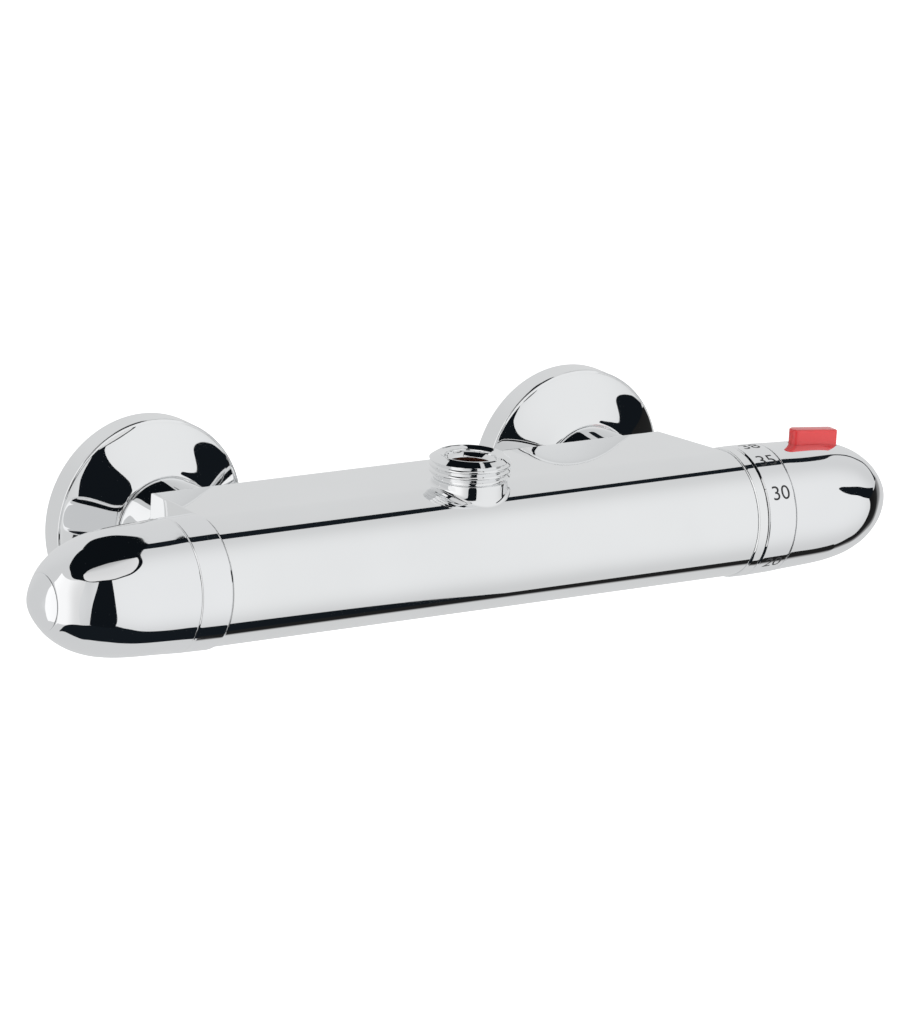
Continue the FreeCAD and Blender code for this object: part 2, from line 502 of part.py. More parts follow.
# --------------------------------------------------------------------- output
for name in sorted(NODES):
    s = NODES[name]
    ok = s.isValid()
    n = len(s.Solids)
    print("%-26s solids %d valid %s vol %.1f" % (name, n, ok, s.Volume))
    if n == 1:
        s = s.Solids[0]
    s.exportStep("parts/%s.step" % name)
print(len(NODES), "nodes")
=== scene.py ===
import json
import math

import bpy
import bmesh
import numpy as np
from mathutils import Matrix, Vector

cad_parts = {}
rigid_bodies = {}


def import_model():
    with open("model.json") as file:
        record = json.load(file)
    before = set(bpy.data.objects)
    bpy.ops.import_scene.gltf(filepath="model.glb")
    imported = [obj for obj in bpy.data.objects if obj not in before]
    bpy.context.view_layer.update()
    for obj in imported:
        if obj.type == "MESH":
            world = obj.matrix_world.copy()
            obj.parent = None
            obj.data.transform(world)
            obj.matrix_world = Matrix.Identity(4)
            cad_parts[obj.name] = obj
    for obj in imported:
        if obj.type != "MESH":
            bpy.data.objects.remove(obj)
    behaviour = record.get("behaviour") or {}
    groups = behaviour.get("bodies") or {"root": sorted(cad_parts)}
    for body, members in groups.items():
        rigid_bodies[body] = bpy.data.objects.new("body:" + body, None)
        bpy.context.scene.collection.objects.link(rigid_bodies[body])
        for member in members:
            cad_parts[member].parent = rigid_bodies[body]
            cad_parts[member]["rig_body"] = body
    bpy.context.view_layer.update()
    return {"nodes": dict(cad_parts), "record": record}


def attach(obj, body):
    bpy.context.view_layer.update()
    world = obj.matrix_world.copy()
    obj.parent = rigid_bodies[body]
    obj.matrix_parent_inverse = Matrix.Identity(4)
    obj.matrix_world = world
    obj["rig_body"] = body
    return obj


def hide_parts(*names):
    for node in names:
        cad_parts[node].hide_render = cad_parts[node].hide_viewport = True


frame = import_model()

# ------------------------------------------------------------ dimensions, mm
BAR_Y = -65.75
BAR_R = 19.12
XL, XR = -93.16, 89.74
COLLAR_X = 93.16
BLOCK_Y = -32.0
BLOCK_ZR = 17.6
BXL, BXR = -90.4, 87.0
OX = -2.2
ROS_R, ROS_RIM = 31.39, 7.6
NUT_R = 15.7
G34, G12 = 13.22, 10.48
GRIP = [(103.74, 19.47), (108.8, 19.18), (113.9, 18.97), (119.0, 18.73), (124.1, 18.28), (126.6, 17.90),
        (129.2, 17.39), (131.7, 16.70), (134.2, 15.78), (136.8, 14.58), (139.3, 13.01), (141.9, 10.98),
        (144.25, 8.50)]
CAPP = [(144.35, 8.35), (145.6, 6.8), (146.7, 5.2), (147.6, 3.65), (148.25, 2.2), (148.62, 1.0), (148.75, 0.0)]
MM = 0.001


# ------------------------------------------------------------ mesh helpers
def spline(pts, n):
    """Natural cubic through the points, n steps, parameter by chord length."""
    p = np.array(pts, float)
    t = np.r_[0, np.cumsum(np.hypot(*np.diff(p, axis=0).T))]
    m = len(p)
    h = np.diff(t)
    A = np.zeros((m, m))
    A[0, 0] = A[-1, -1] = 1
    B = np.zeros((m, 2))
    for i in range(1, m - 1):
        A[i, i - 1], A[i, i], A[i, i + 1] = h[i - 1], 2 * (h[i - 1] + h[i]), h[i]
        B[i] = 6 * ((p[i + 1] - p[i]) / h[i] - (p[i] - p[i - 1]) / h[i - 1])
    M = np.linalg.solve(A, B)
    out = []
    for u in np.linspace(0, t[-1], n + 1):
        i = min(max(np.searchsorted(t, u) - 1, 0), m - 2)
        a, b = (t[i + 1] - u) / h[i], (u - t[i]) / h[i]
        out.append(a * p[i] + b * p[i + 1] + ((a ** 3 - a) * M[i] + (b ** 3 - b) * M[i + 1]) * h[i] ** 2 / 6)
    return [tuple(q) for q in out]


def rounded(pts):
    """Closed polygon (t, r[, radius]) with its corners rounded."""
    out = []
    n = len(pts)
    for i in range(n):
        p = np.array(pts[i][:2], float)
        rad = pts[i][2] if len(pts[i]) > 2 else 0.0
        a = np.array(pts[i - 1][:2], float) - p
        b = np.array(pts[(i + 1) % n][:2], float) - p
        la, lb = np.linalg.norm(a), np.linalg.norm(b)
        if rad <= 0 or la < 1e-9 or lb < 1e-9:
            out.append(tuple(p))
            continue
        a, b = a / la, b / lb
        half = math.acos(max(-1, min(1, a @ b))) / 2
        if half > 1.55:
            out.append(tuple(p))
            continue
        cut = min(rad / math.tan(half), 0.45 * la, 0.45 * lb)
        r = cut * math.tan(half)
        c = p + (a + b) / np.linalg.norm(a + b) * (r / math.sin(half))
        s, e = p + a * cut - c, p + b * cut - c
        k = 7
        for j in range(k + 1):
            w = j / k
            v = s * (1 - w) + e * w
            v = v / np.linalg.norm(v) * r
            out.append(tuple(c + v))
    return out


def clean(pts):
    out = [pts[0]]
    for p in pts[1:]:
        if math.hypot(p[0] - out[-1][0], p[1] - out[-1][1]) > 2e-4:
            out.append(p)
    if math.hypot(out[0][0] - out[-1][0], out[0][1] - out[-1][1]) < 2e-4:
        out.pop()
    return out


def divide(pts, step):
    """Adds points on the long runs of a closed profile."""
    out = []
    for i, p in enumerate(pts):
        q = pts[(i + 1) % len(pts)]
        out.append(p)
        k = int(math.hypot(q[0] - p[0], q[1] - p[1]) / step)
        for j in range(1, k + 1):
            w = j / (k + 1)
            out.append((p[0] + (q[0] - p[0]) * w, p[1] + (q[1] - p[1]) * w))
    return out


def finish_mesh(name, verts, faces, sharp_pairs=None, smooth=True):
    me = bpy.data.meshes.new(name)
    me.from_pydata([tuple(v) for v in verts], [], faces)
    me.validate()
    bm = bmesh.new()
    bm.from_mesh(me)
    bmesh.ops.recalc_face_normals(bm, faces=bm.faces)
    if sum(f.calc_area() * f.normal.dot(f.calc_center_median()) for f in bm.faces) < 0 and False:
        bmesh.ops.reverse_faces(bm, faces=bm.faces)
    vol = bm.calc_volume(signed=True)
    if vol < 0:
        bmesh.ops.reverse_faces(bm, faces=bm.faces)
    bm.to_mesh(me)
    bm.free()
    me.polygons.foreach_set("use_smooth", [smooth] * len(me.polygons))
    return me


def mark_sharp(me, angle):
    """Edges that turn by more than the angle, in degrees, are sharp."""
    bm = bmesh.new()
    bm.from_mesh(me)
    lim = math.radians(angle)
    for e in bm.edges:
        e.smooth = len(e.link_faces) == 2 and e.calc_face_angle(0) < lim
    bm.to_mesh(me)
    bm.free()


def obj(name, me):
    o = bpy.data.objects.new(name, me)
    bpy.context.scene.collection.objects.link(o)
    return o


def lathe_mesh(name, prof, c=(0, BAR_Y, 0), axis="x", segs=256, rfun=None, angle=28.0, flip=False):
    """Solid of revolution from a closed profile of (along, radius) in mm. c gives the axis' place. rfun(phi, t, r) may change the radius."""
    prof = clean(prof)
    rings, idx, verts = [], 0, []
    ph = np.arange(segs) * 2 * math.pi / segs
    for t, r in prof:
        if r < 1e-6:
            verts.append(_place(np.array([t]), np.array([0.0]), np.array([0.0]), c, axis, flip))
            rings.append((idx, 1))
            idx += 1
        else:
            rr = np.full(segs, r) if rfun is None else rfun(ph, t, r)
            verts.append(_place(np.full(segs, t), rr * np.cos(ph), rr * np.sin(ph), c, axis, flip))
            rings.append((idx, segs))
            idx += segs
    verts = np.vstack(verts) * MM
    faces = []
    n = len(prof)
    for i in range(n):
        (a, ka), (b, kb) = rings[i], rings[(i + 1) % n]
        if ka == 1 and kb == 1:
            continue
        for j in range(segs):
            j2 = (j + 1) % segs
            if ka == 1:
                faces.append((a, b + j, b + j2))
            elif kb == 1:
                faces.append((a + j, a + j2, b))
            else:
                faces.append((a + j, a + j2, b + j2, b + j))
    me = finish_mesh(name, verts, faces)
    mark_sharp(me, angle)
    return me


def _place(t, u, v, c, axis, flip):
    if axis == "x":
        t = -t if flip else t
        return np.c_[t, c[1] + u, c[2] + v]
    if axis == "y":
        return np.c_[c[0] + u, t, c[2] + v]
    return np.c_[c[0] + u, c[1] + v, t]


def prism_mesh(name, outline, lo, hi, axis="z", edge=0.0, steps=4):
    """Extrusion of a closed outline (list of 2-D points, mm) with rounded rims of the given size."""
    P = np.array(outline, float)
    area = 0.5 * np.sum(P[:, 0] * np.roll(P[:, 1], -1) - np.roll(P[:, 0], -1) * P[:, 1])
    if area < 0:
        P = P[::-1]
    d1 = P - np.roll(P, 1, 0)
    d2 = np.roll(P, -1, 0) - P
    n1 = np.c_[d1[:, 1], -d1[:, 0]] / np.linalg.norm(d1, axis=1)[:, None]
    n2 = np.c_[d2[:, 1], -d2[:, 0]] / np.linalg.norm(d2, axis=1)[:, None]
    nn = n1 + n2
    nn /= np.linalg.norm(nn, axis=1)[:, None]
    nn /= np.maximum(0.35, np.sum(nn * n1, axis=1))[:, None]
    layers = []
    if edge > 0:
        for k in range(steps + 1):
            a = math.pi / 2 * k / steps
            layers.append((lo + edge * (1 - math.sin(a)), edge * (1 - math.cos(a))))
        layers = layers[::-1]
        top = [(hi - edge * (1 - math.sin(math.pi / 2 * k / steps)), edge * (1 - math.cos(math.pi / 2 * k / steps)))
               for k in range(steps + 1)]
        layers = [(z, o) for z, o in layers]
        layers.sort()
        top.sort()
        seq = [(lo + edge * (1 - math.cos(math.pi / 2 * k / steps)) * 1.0, edge * (1 - math.sin(math.pi / 2 * k / steps)))
               for k in range(steps + 1)]
        seq += [(hi - edge * (1 - math.cos(math.pi / 2 * k / steps)), edge * (1 - math.sin(math.pi / 2 * k / steps)))
                for k in range(steps, -1, -1)]
        layers = seq
    else:
        layers = [(lo, 0.0), (hi, 0.0)]
    verts, m = [], len(P)
    for z, off in layers:
        q = P - nn * off
        zz = np.full(m, z)
        verts.append(np.c_[q[:, 0], q[:, 1], zz] if axis == "z" else
                     (np.c_[zz, q[:, 0], q[:, 1]] if axis == "x" else np.c_[q[:, 0], zz, q[:, 1]]))
    verts = np.vstack(verts) * MM
    faces = []
    for i in range(len(layers) - 1):
        for j in range(m):
            j2 = (j + 1) % m
            faces.append((i * m + j, i * m + j2, (i + 1) * m + j2, (i + 1) * m + j))
    faces.append(tuple(range(m)))
    faces.append(tuple((len(layers) - 1) * m + j for j in range(m)))
    me = finish_mesh(name, verts, faces)
    mark_sharp(me, 28)
    return me


def joined(name, meshes):
    """One mesh from several, keeping their sharp edges."""
    bm = bmesh.new()
    for m in meshes:
        bm.from_mesh(m)
    me = bpy.data.meshes.new(name)
    bm.to_mesh(me)
    bm.free()
    me.polygons.foreach_set("use_smooth", [True] * len(me.polygons))
    return me


def cut(o, cutters):
    """Takes each cutter mesh away from the object, then throws the cutters away."""
    for k, m in enumerate(cutters):
        c = obj(o.name + "_cut%d" % k, m)
        mod = o.modifiers.new("cut%d" % k, "BOOLEAN")
        mod.operation, mod.solver, mod.object = "DIFFERENCE", "EXACT", c
        bpy.context.view_layer.update()
        dg = bpy.context.evaluated_depsgraph_get()
        me = bpy.data.meshes.new_from_object(o.evaluated_get(dg))
        o.modifiers.clear()
        old = o.data
        o.data = me
        bpy.data.meshes.remove(old)
        bpy.data.objects.remove(c)


def bake_modifiers(o):
    bpy.context.view_layer.update()
    dg = bpy.context.evaluated_depsgraph_get()
    me = bpy.data.meshes.new_from_object(o.evaluated_get(dg), preserve_all_data_layers=True, depsgraph=dg)
    o.modifiers.clear()
    o.data = me


def thread_r(pitch, crest, root, hand=1.0, flat=0.12):
    """Radius of a rounded V thread as a function of angle and height."""
    def f(ph, t):
        s = np.mod(t / pitch - hand * ph / (2 * math.pi), 1.0)
        w = 0.5 - 0.5 * np.cos(2 * math.pi * s)
        return root + (crest - root) * w ** (0.45 + flat)
    return f


# ------------------------------------------------------------ materials
def nodes_of(name):
    m = bpy.data.materials.new(name)
    m.use_nodes = True
    nt = m.node_tree
    b = nt.nodes["Principled BSDF"]
    co = nt.nodes.new("ShaderNodeTexCoord")
    return m, nt, b, co


def noise(nt, co, scale, detail=4.0, rough=0.55, dist=0.0, vec=None):
    n = nt.nodes.new("ShaderNodeTexNoise")
    n.inputs["Scale"].default_value = scale
    n.inputs["Detail"].default_value = detail
    n.inputs["Roughness"].default_value = rough
    n.inputs["Distortion"].default_value = dist
    nt.links.new(vec if vec is not None else co.outputs["Object"], n.inputs["Vector"])
    return n


def ramp(nt, src, stops):
    r = nt.nodes.new("ShaderNodeValToRGB")
    e = r.color_ramp.elements
    while len(e) < len(stops):
        e.new(0.5)
    for i, (p, c) in enumerate(stops):
        e[i].position = p
        e[i].color = (c[0], c[1], c[2], 1) if hasattr(c, "__len__") else (c, c, c, 1)
    nt.links.new(src, r.inputs["Fac"])
    return r


def span(nt, src, a, b):
    m = nt.nodes.new("ShaderNodeMapRange")
    m.inputs["From Min"].default_value = 0.3
    m.inputs["From Max"].default_value = 0.7
    m.inputs["To Min"].default_value = a
    m.inputs["To Max"].default_value = b
    nt.links.new(src, m.inputs["Value"])
    return m


def bump(nt, src, b, strength, dist):
    n = nt.nodes.new("ShaderNodeBump")
    n.inputs["Strength"].default_value = strength
    n.inputs["Distance"].default_value = dist
    nt.links.new(src, n.inputs["Height"])
    nt.links.new(n.outputs["Normal"], b.inputs["Normal"])
    return n


def stretched(nt, co, s):
    mp = nt.nodes.new("ShaderNodeMapping")
    mp.inputs["Scale"].default_value = s
    nt.links.new(co.outputs["Object"], mp.inputs["Vector"])
    return mp.outputs["Vector"]


def chrome(name, tint, rough, wave):
    """Bright plating: nearly a mirror, with a faint film of uneven gloss and the slight waviness of a polished casting."""
    m, nt, b, co = nodes_of(name)
    b.inputs["Metallic"].default_value = 1.0
    n1 = noise(nt, co, 28.0, 3.0, 0.5)
    c = ramp(nt, n1.outputs["Fac"], [(0.25, tuple(0.965 * x for x in tint)), (0.75, tint)])
    nt.links.new(c.outputs["Color"], b.inputs["Base Color"])
    n2 = noise(nt, co, 140.0, 5.0, 0.6)
    r = span(nt, n2.outputs["Fac"], rough[0], rough[1])
    nt.links.new(r.outputs["Result"], b.inputs["Roughness"])
    n3 = noise(nt, co, 45.0, 2.0, 0.5)
    bump(nt, n3.outputs["Fac"], b, wave, 0.0002)
    return m


def plastic(name, a, bcol, rough, scale, strength, spec=0.5, coat=0.0, sss=0.0):
    m, nt, b, co = nodes_of(name)
    n1 = noise(nt, co, scale, 3.0, 0.55)
    c = ramp(nt, n1.outputs["Fac"], [(0.3, a), (0.7, bcol)])
    nt.links.new(c.outputs["Color"], b.inputs["Base Color"])
    n2 = noise(nt, co, scale * 9, 4.0, 0.6)
    r = span(nt, n2.outputs["Fac"], rough[0], rough[1])
    nt.links.new(r.outputs["Result"], b.inputs["Roughness"])
    b.inputs["Specular IOR Level"].default_value = spec
    b.inputs["Coat Weight"].default_value = coat
    b.inputs["Coat Roughness"].default_value = 0.06
    if sss:
        b.inputs["Subsurface Weight"].default_value = sss
        b.inputs["Subsurface Radius"].default_value = (0.0012, 0.0004, 0.0003)
    bump(nt, n2.outputs["Fac"], b, strength, 0.0001)
    return m


def metal(name, a, bcol, rough, stretch, strength):
    """Turned or drawn bare metal: fine tool marks across the axis and uneven tarnish."""
    m, nt, b, co = nodes_of(name)
    b.inputs["Metallic"].default_value = 1.0
    n1 = noise(nt, co, 60.0, 5.0, 0.6)
    c = ramp(nt, n1.outputs["Fac"], [(0.3, a), (0.7, bcol)])
    nt.links.new(c.outputs["Color"], b.inputs["Base Color"])
    n2 = noise(nt, co, 60.0, 3.0, 0.5, vec=stretched(nt, co, stretch))
    r = span(nt, n2.outputs["Fac"], rough[0], rough[1])
    nt.links.new(r.outputs["Result"], b.inputs["Roughness"])
    bump(nt, n2.outputs["Fac"], b, strength, 0.00006)
    return m


M_CHROME = chrome("polished_chrome", (0.90, 0.905, 0.91), (0.012, 0.035), 0.004)
M_CHROMEP = chrome("chrome_on_plastic", (0.90, 0.905, 0.915), (0.018, 0.045), 0.006)
M_RED = plastic("red_button", (0.99, 0.05, 0.055), (1.0, 0.07, 0.075), (0.16, 0.26), 90.0, 0.03, 0.5, 0.35, 0.12)
M_BRASS = metal("turned_brass", (0.66, 0.47, 0.22), (0.80, 0.62, 0.33), (0.22, 0.42), (1.0, 12.0, 1.0), 0.25)
M_COPPER = metal("copper_alloy", (0.62, 0.33, 0.19), (0.78, 0.46, 0.30), (0.22, 0.4), (12.0, 1.0, 1.0), 0.2)
M_STEEL = metal("stainless_steel", (0.52, 0.52, 0.53), (0.66, 0.66, 0.67), (0.2, 0.36), (1.0, 8.0, 8.0), 0.2)
M_RUBBER = plastic("black_rubber", (0.012, 0.012, 0.013), (0.03, 0.03, 0.032), (0.55, 0.78), 160.0, 0.35, 0.35)
M_WHITE = plastic("white_plastic", (0.72, 0.72, 0.70), (0.80, 0.80, 0.78), (0.34, 0.5), 120.0, 0.12)
M_GREY = plastic("grey_plastic", (0.20, 0.205, 0.21), (0.27, 0.275, 0.28), (0.36, 0.55), 120.0, 0.18)
M_CERAMIC = plastic("ceramic_disc", (0.78, 0.77, 0.74), (0.86, 0.85, 0.83), (0.1, 0.2), 300.0, 0.04)
# bore material: bare brass darkened to a brown stand-in for the shade inside the bore, so its colour is painted shade
M_BORE_SHADE = metal("bore_brass_painted_shade", (0.15, 0.055, 0.035), (0.30, 0.12, 0.075), (0.34, 0.52), (1.0, 1.0, 14.0), 0.2)
M_INK = plastic("printed_ink", (0.016, 0.016, 0.018), (0.035, 0.035, 0.038), (0.35, 0.5), 500.0, 0.06, 0.4)
BY_SLOT = {"chrome": M_CHROME, "chrome_plastic": M_CHROMEP, "red_plastic": M_RED, "brass": M_BRASS,
           "copper_alloy": M_COPPER, "black_rubber": M_RUBBER, "stainless": M_STEEL, "white_plastic": M_WHITE,
           "grey_plastic": M_GREY, "ceramic": M_CERAMIC}
SLOT = {s["node"]: s["material_slot"] for s in frame["record"]["subparts"]}
for n, o in frame["nodes"].items():
    m = BY_SLOT[SLOT[n]]
    o.data.materials.clear()
    o.data.materials.append(m)


def place(name, me, node, body=None, mat=None, replace=True):
    """Puts a finished mesh in the scene on its body, in place of a node."""
    o = obj(name, me) if isinstance(me, bpy.types.Mesh) else me
    o.data.materials.clear()
    slot = SLOT[node]
    o.data.materials.append(mat or BY_SLOT[slot])
    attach(o, body or frame["nodes"][node]["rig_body"])
    if replace:
        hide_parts(node)
    return o


# ------------------------------------------------------------ bar body
def make_bar():
    d = math.hypot(BLOCK_Y - BAR_Y, BLOCK_ZR)
    ang = math.degrees(math.atan2(BLOCK_ZR, BLOCK_Y - BAR_Y)) + math.degrees(math.acos(BAR_R / d))
    top = 180 - ang
    th = list(np.linspace(-90, 90, 241))
    prof = [(BAR_Y - BAR_R * math.cos(math.radians(a)), BAR_R * math.sin(math.radians(a))) for a in th]
    extra = [(BAR_Y - BAR_R * math.cos(math.radians(a)), BAR_R * math.sin(math.radians(a)))
             for a in (90 + (top - 90) * 0.5, top)]
    prof = [(y, -z) for y, z in extra[::-1]] + prof + extra
    prof = [(BLOCK_Y, -BLOCK_ZR)] + prof + [(BLOCK_Y, BLOCK_ZR)]
    ins = []
    for i, p in enumerate(prof):
        ins.append(p)
        if i in (0, len(prof) - 2):
            q = prof[i + 1]
            ins += [(p[0] + (q[0] - p[0]) * w, p[1] + (q[1] - p[1]) * w) for w in (0.35, 0.7)]
    prof = ins
    m = len(prof)

    def ends(y):
        if y <= BAR_Y + 1e-6:
            return XL, XR
        w = (y - BAR_Y) / (BLOCK_Y - BAR_Y)
        return XL + (BXL - XL) * w, XR + (BXR - XR) * w
    rows = []
    for y, z in prof:
        a, b = ends(y)
        rows.append([(a, y, z), (OX - 16, y, z), (OX + 16, y, z), (b, y, z)])
    verts = [p for r in rows for p in r]
    faces = []
    for i in range(m):
        j = (i + 1) % m
        for k in range(3):
            faces.append((i * 4 + k, i * 4 + k + 1, j * 4 + k + 1, j * 4 + k))
    front = [i for i, p in enumerate(prof) if p[0] <= BAR_Y + 1e-6]
    rear = [i for i, p in enumerate(prof) if p[0] > BAR_Y + 1e-6]
    lo, hi = front[0], front[-1]
    for k in (0, 3):
        faces.append(tuple(i * 4 + k for i in front))
        ring = [i for i in range(hi, m)] + [i for i in range(0, lo + 1)]
        faces.append(tuple(i * 4 + k for i in ring))
    me = finish_mesh("body_bar", np.array(verts) * MM, faces)
    bm = bmesh.new()
    bm.from_mesh(me)
    bw = bm.edges.layers.float.new("bevel_weight_edge")
    for e in bm.edges:
        p, q = (v.co / MM for v in e.verts)
        mid = (p + q) / 2
        along = abs(p.x - q.x) > 5
        if along:
            if abs(mid.y - BLOCK_Y) < 0.01 and abs(abs(mid.z) - BLOCK_ZR) < 0.01:
                e[bw] = 1.0
            continue
        if len(e.link_faces) != 2 or abs(mid.x) < 40:
            continue
        if e.calc_face_angle(0) < math.radians(40):
            continue
        if abs(mid.y - BLOCK_Y) < 0.01:
            e[bw] = 1.2 / 3.0
        elif mid.y > BAR_Y:
            e[bw] = 0.45 / 3.0
        else:
            e[bw] = 0.22 / 3.0
    bm.to_mesh(me)
    bm.free()
    o = obj("body_bar", me)
    bv = o.modifiers.new("edges", "BEVEL")
    bv.limit_method, bv.width, bv.segments, bv.profile = "WEIGHT", 3.0 * MM, 6, 0.5
    bv.use_clamp_overlap = True
    bake_modifiers(o)
    cy = [lathe_mesh("c", [(38.0, 0), (38.0, 15.5), (XR + 2, 15.5), (XR + 2, 0)], segs=96),
          lathe_mesh("c", [(-50.0, 0), (-50.0, 7.0), (39.0, 7.0), (39.0, 0)], segs=64),
          lathe_mesh("c", [(XL - 2, 0), (XL - 2, 12.0), (-48.0, 12.0), (-48.0, 0)], segs=96),
          lathe_mesh("c", [(XL - 3, 0), (XL - 3, 15.5), (-89.0, 15.5), (-89.0, 0)], segs=96),
          lathe_mesh("c", [(-41.0, 0), (-41.0, 10.5), (-29.0, 10.5), (-29.0, 0)], c=(-75, 0, 0), axis="y", segs=96),
          lathe_mesh("c", [(-41.0, 0), (-41.0, 10.5), (-29.0, 10.5), (-29.0, 0)], c=(75, 0, 0), axis="y", segs=96),
          lathe_mesh("c", [(0.0, 0), (0.0, 6.2), (24.0, 6.2), (24.0, 0)], c=(OX, BAR_Y, 0), axis="z", segs=96)]
    cut(o, cy)
    mark_sharp(o.data, 24)
    o.data.polygons.foreach_set("use_smooth", [True] * len(o.data.polygons))
    wn = o.modifiers.new("normals", "WEIGHTED_NORMAL")
    wn.mode, wn.weight, wn.keep_sharp, wn.thresh = "FACE_AREA", 50, True, 0.01
    bake_modifiers(o)
    return o


def make_outlet():
    """Threaded outlet with its foot flared onto the bar, one closed skin."""
    segs = 288
    ph = np.arange(segs) * 2 * math.pi / segs
    neck = 11.25
    rho = 0.95 + 1.05 * np.sin(ph) ** 2
    d = math.hypot(BLOCK_Y - BAR_Y, BLOCK_ZR)
    slope = (BLOCK_ZR - 19.10) / (BLOCK_Y - BAR_Y - 0.87)
    nrm = np.array([-slope, 1.0]) / math.hypot(slope, 1.0)      # (y, z) of the flat top's normal
    cr = neck + rho
    cy = cr * np.sin(ph)
    zc = np.sqrt(np.maximum((BAR_R + rho) ** 2 - cy ** 2, 1e-9))
    ny, nz = cy / (BAR_R + rho), zc / (BAR_R + rho)
    back = cy > 0.87
    zflat = 19.10 + slope * (cy - 0.87) + rho / nrm[1]
    zc = np.where(back, np.maximum(zc, zflat), zc)
    use = back & (zflat >= np.sqrt(np.maximum((BAR_R + rho) ** 2 - cy ** 2, 1e-9)))
    ny, nz = np.where(use, nrm[0], ny), np.where(use, nrm[1], nz)
    ux, uy = np.cos(ph), np.sin(ph)
    rings = []

    def ring(x, y, z):
        rings.append(np.c_[OX + x, BAR_Y + y, z])
    # inside the bar, up to the contact on the bar
    cx3 = np.c_[cr * ux, cr * uy, zc]
    nb = np.c_[np.zeros(segs), ny, nz]
    contact = cx3 - nb * rho[:, None]
    ring(contact[:, 0] * 0.97, contact[:, 1] * 0.97, contact[:, 2] - 1.5)
    a = -nb
    b = np.c_[-ux, -uy, np.zeros(segs)]
    om = np.arccos(np.clip(np.sum(a * b, axis=1), -1, 1))
    K = 12
    for k in range(K + 1):
        w = k / K
        v = (np.sin((1 - w) * om) / np.sin(om))[:, None] * a + (np.sin(w * om) / np.sin(om))[:, None] * b
        q = cx3 + v * rho[:, None]
        ring(q[:, 0], q[:, 1], q[:, 2])
    # neck, undercut, thread with its lead, rim, bore
    prof = []
    ztop = zc.max()
    prof += [(max(20.75, ztop + 0.02), 11.25)] if ztop < 20.75 else []
    body = [(20.92, 11.22), (21.02, 11.12), (21.12, 10.75), (21.2, 10.5), (21.35, 10.4), (21.75, 10.4)]
    lead = 0.05
    tz = np.arange(21.95, 28.02, lead)
    th = thread_r(1.814, 12.05, 11.35, hand=1.0, flat=0.16)

    def env(z):
        if z < 22.35:
            return 10.4 + (z - 21.75) / 0.6 * 1.65
        if z <= 26.75:
            return 12.05
        return 12.05 - (z - 26.75) / 1.35 * 1.95
    zs = np.linspace(0, 1, 6)
    base = zc.copy()
    for w in zs[1:]:
        z = base + (20.85 - base) * w
        ring(neck * ux, neck * uy, z)
    for z, r in body:
        ring(r * ux, r * uy, np.full(segs, z))
    for z in tz:
        e = env(z)
        t = th(ph, z + 0.30)
        r = np.minimum(t, e)
        if z > 27.0:
            r = np.full(segs, e)
        ring(r * ux, r * uy, np.full(segs, z))
    for z, r in [(28.12, 10.02), (28.2, 9.92), (28.26, 9.8), (28.29, 9.66), (28.3, 9.5), (28.28, 9.4), (28.22, 9.3),
                 (28.1, 9.12), (27.9, 8.72), (27.7, 8.28), (27.5, 7.84), (27.42, 7.68), (27.36, 7.62), (27.25, 7.58),
                 (26.9, 7.54), (26.62, 7.5), (26.58, 7.46), (26.54, 7.38), (26.0, 6.78), (25.56, 6.3), (25.48, 6.24),
                 (25.4, 6.21), (25.2, 6.2), (22.0, 6.2), (18.0, 6.2), (16.5, 6.2)]:
        ring(r * ux, r * uy, np.full(segs, z))
    verts = np.vstack(rings) * MM
    n = len(rings)
    faces = []
    for i in range(n - 1):
        for j in range(segs):
            j2 = (j + 1) % segs
            faces.append((i * segs + j, i * segs + j2, (i + 1) * segs + j2, (i + 1) * segs + j))
    # close the skin inside the bar between the foot and the bore
    for j in range(segs):
        j2 = (j + 1) % segs
        faces.append(((n - 1) * segs + j, (n - 1) * segs + j2, j2, j))
    me = finish_mesh("body_outlet", verts, faces)
    mark_sharp(me, 34)
    return me


def bore_brass_painted_shade(o, ztop):
    """The drilled bore under the outlet's seat is left unplated: bare brass, painted far darker than its own colour as
    painted shade inside the bore.
    """
    o.data.materials.append(M_BORE_SHADE)
    vs = [v.co / MM for v in o.data.vertices]
    for f in o.data.polygons:
        if all(math.hypot(vs[i].x - OX, vs[i].y - BAR_Y) < 6.45 and -7.5 < vs[i].z < ztop for i in f.vertices):
            f.material_index = 1


bore_brass_painted_shade(place("body_bar", make_bar(), "body_casting"), 25.0)
bore_brass_painted_shade(place("body_outlet", make_outlet(), "body_casting"), 25.3)

# ------------------------------------------------------------ collar and bands
collar = rounded([(89.79, 15.55), (89.79, 19.3), (90.05, 19.58, 0.2), (92.9, 19.66, 0.2), (93.16, 19.4, 0.1),
                  (93.16, 13.2), (91.2, 13.2), (91.2, 15.55)])
place("collar_ring", lathe_mesh("collar_ring", divide(collar, 0.6)), "temp_collar_ring")
band = rounded([(93.46, 17.0), (93.46, 19.35), (93.86, 19.68, 0.3), (103.3, 19.5, 0.25), (103.6, 19.25, 0.1),
                (103.6, 17.05), (108.0, 16.85), (108.0, 15.95), (102.4, 15.95), (101.2, 17.0)])
band = divide(band, 0.6)
tight = [(min(t + 0.09, 103.69) if t > 103.4 and r > 19.0 else t, r) for t, r in band]
place("scale_band", lathe_mesh("scale_band", tight), "temp_scale_band")
tab = []
for r in (12.4, 16.3):
    arc = [(-BAR_Y * 0 + BAR_Y - r * math.sin(math.radians(a)), r * math.cos(math.radians(a)))
           for a in np.linspace(-54, -36, 7)]
    tab += arc if r < 13 else arc[::-1]
me = joined("flow_ring", [lathe_mesh("r", band, flip=True),
                          prism_mesh("t", tab, -107.4, -104.0, "x", 0.15)])
place("flow_ring", me, "flow_handle_ring")


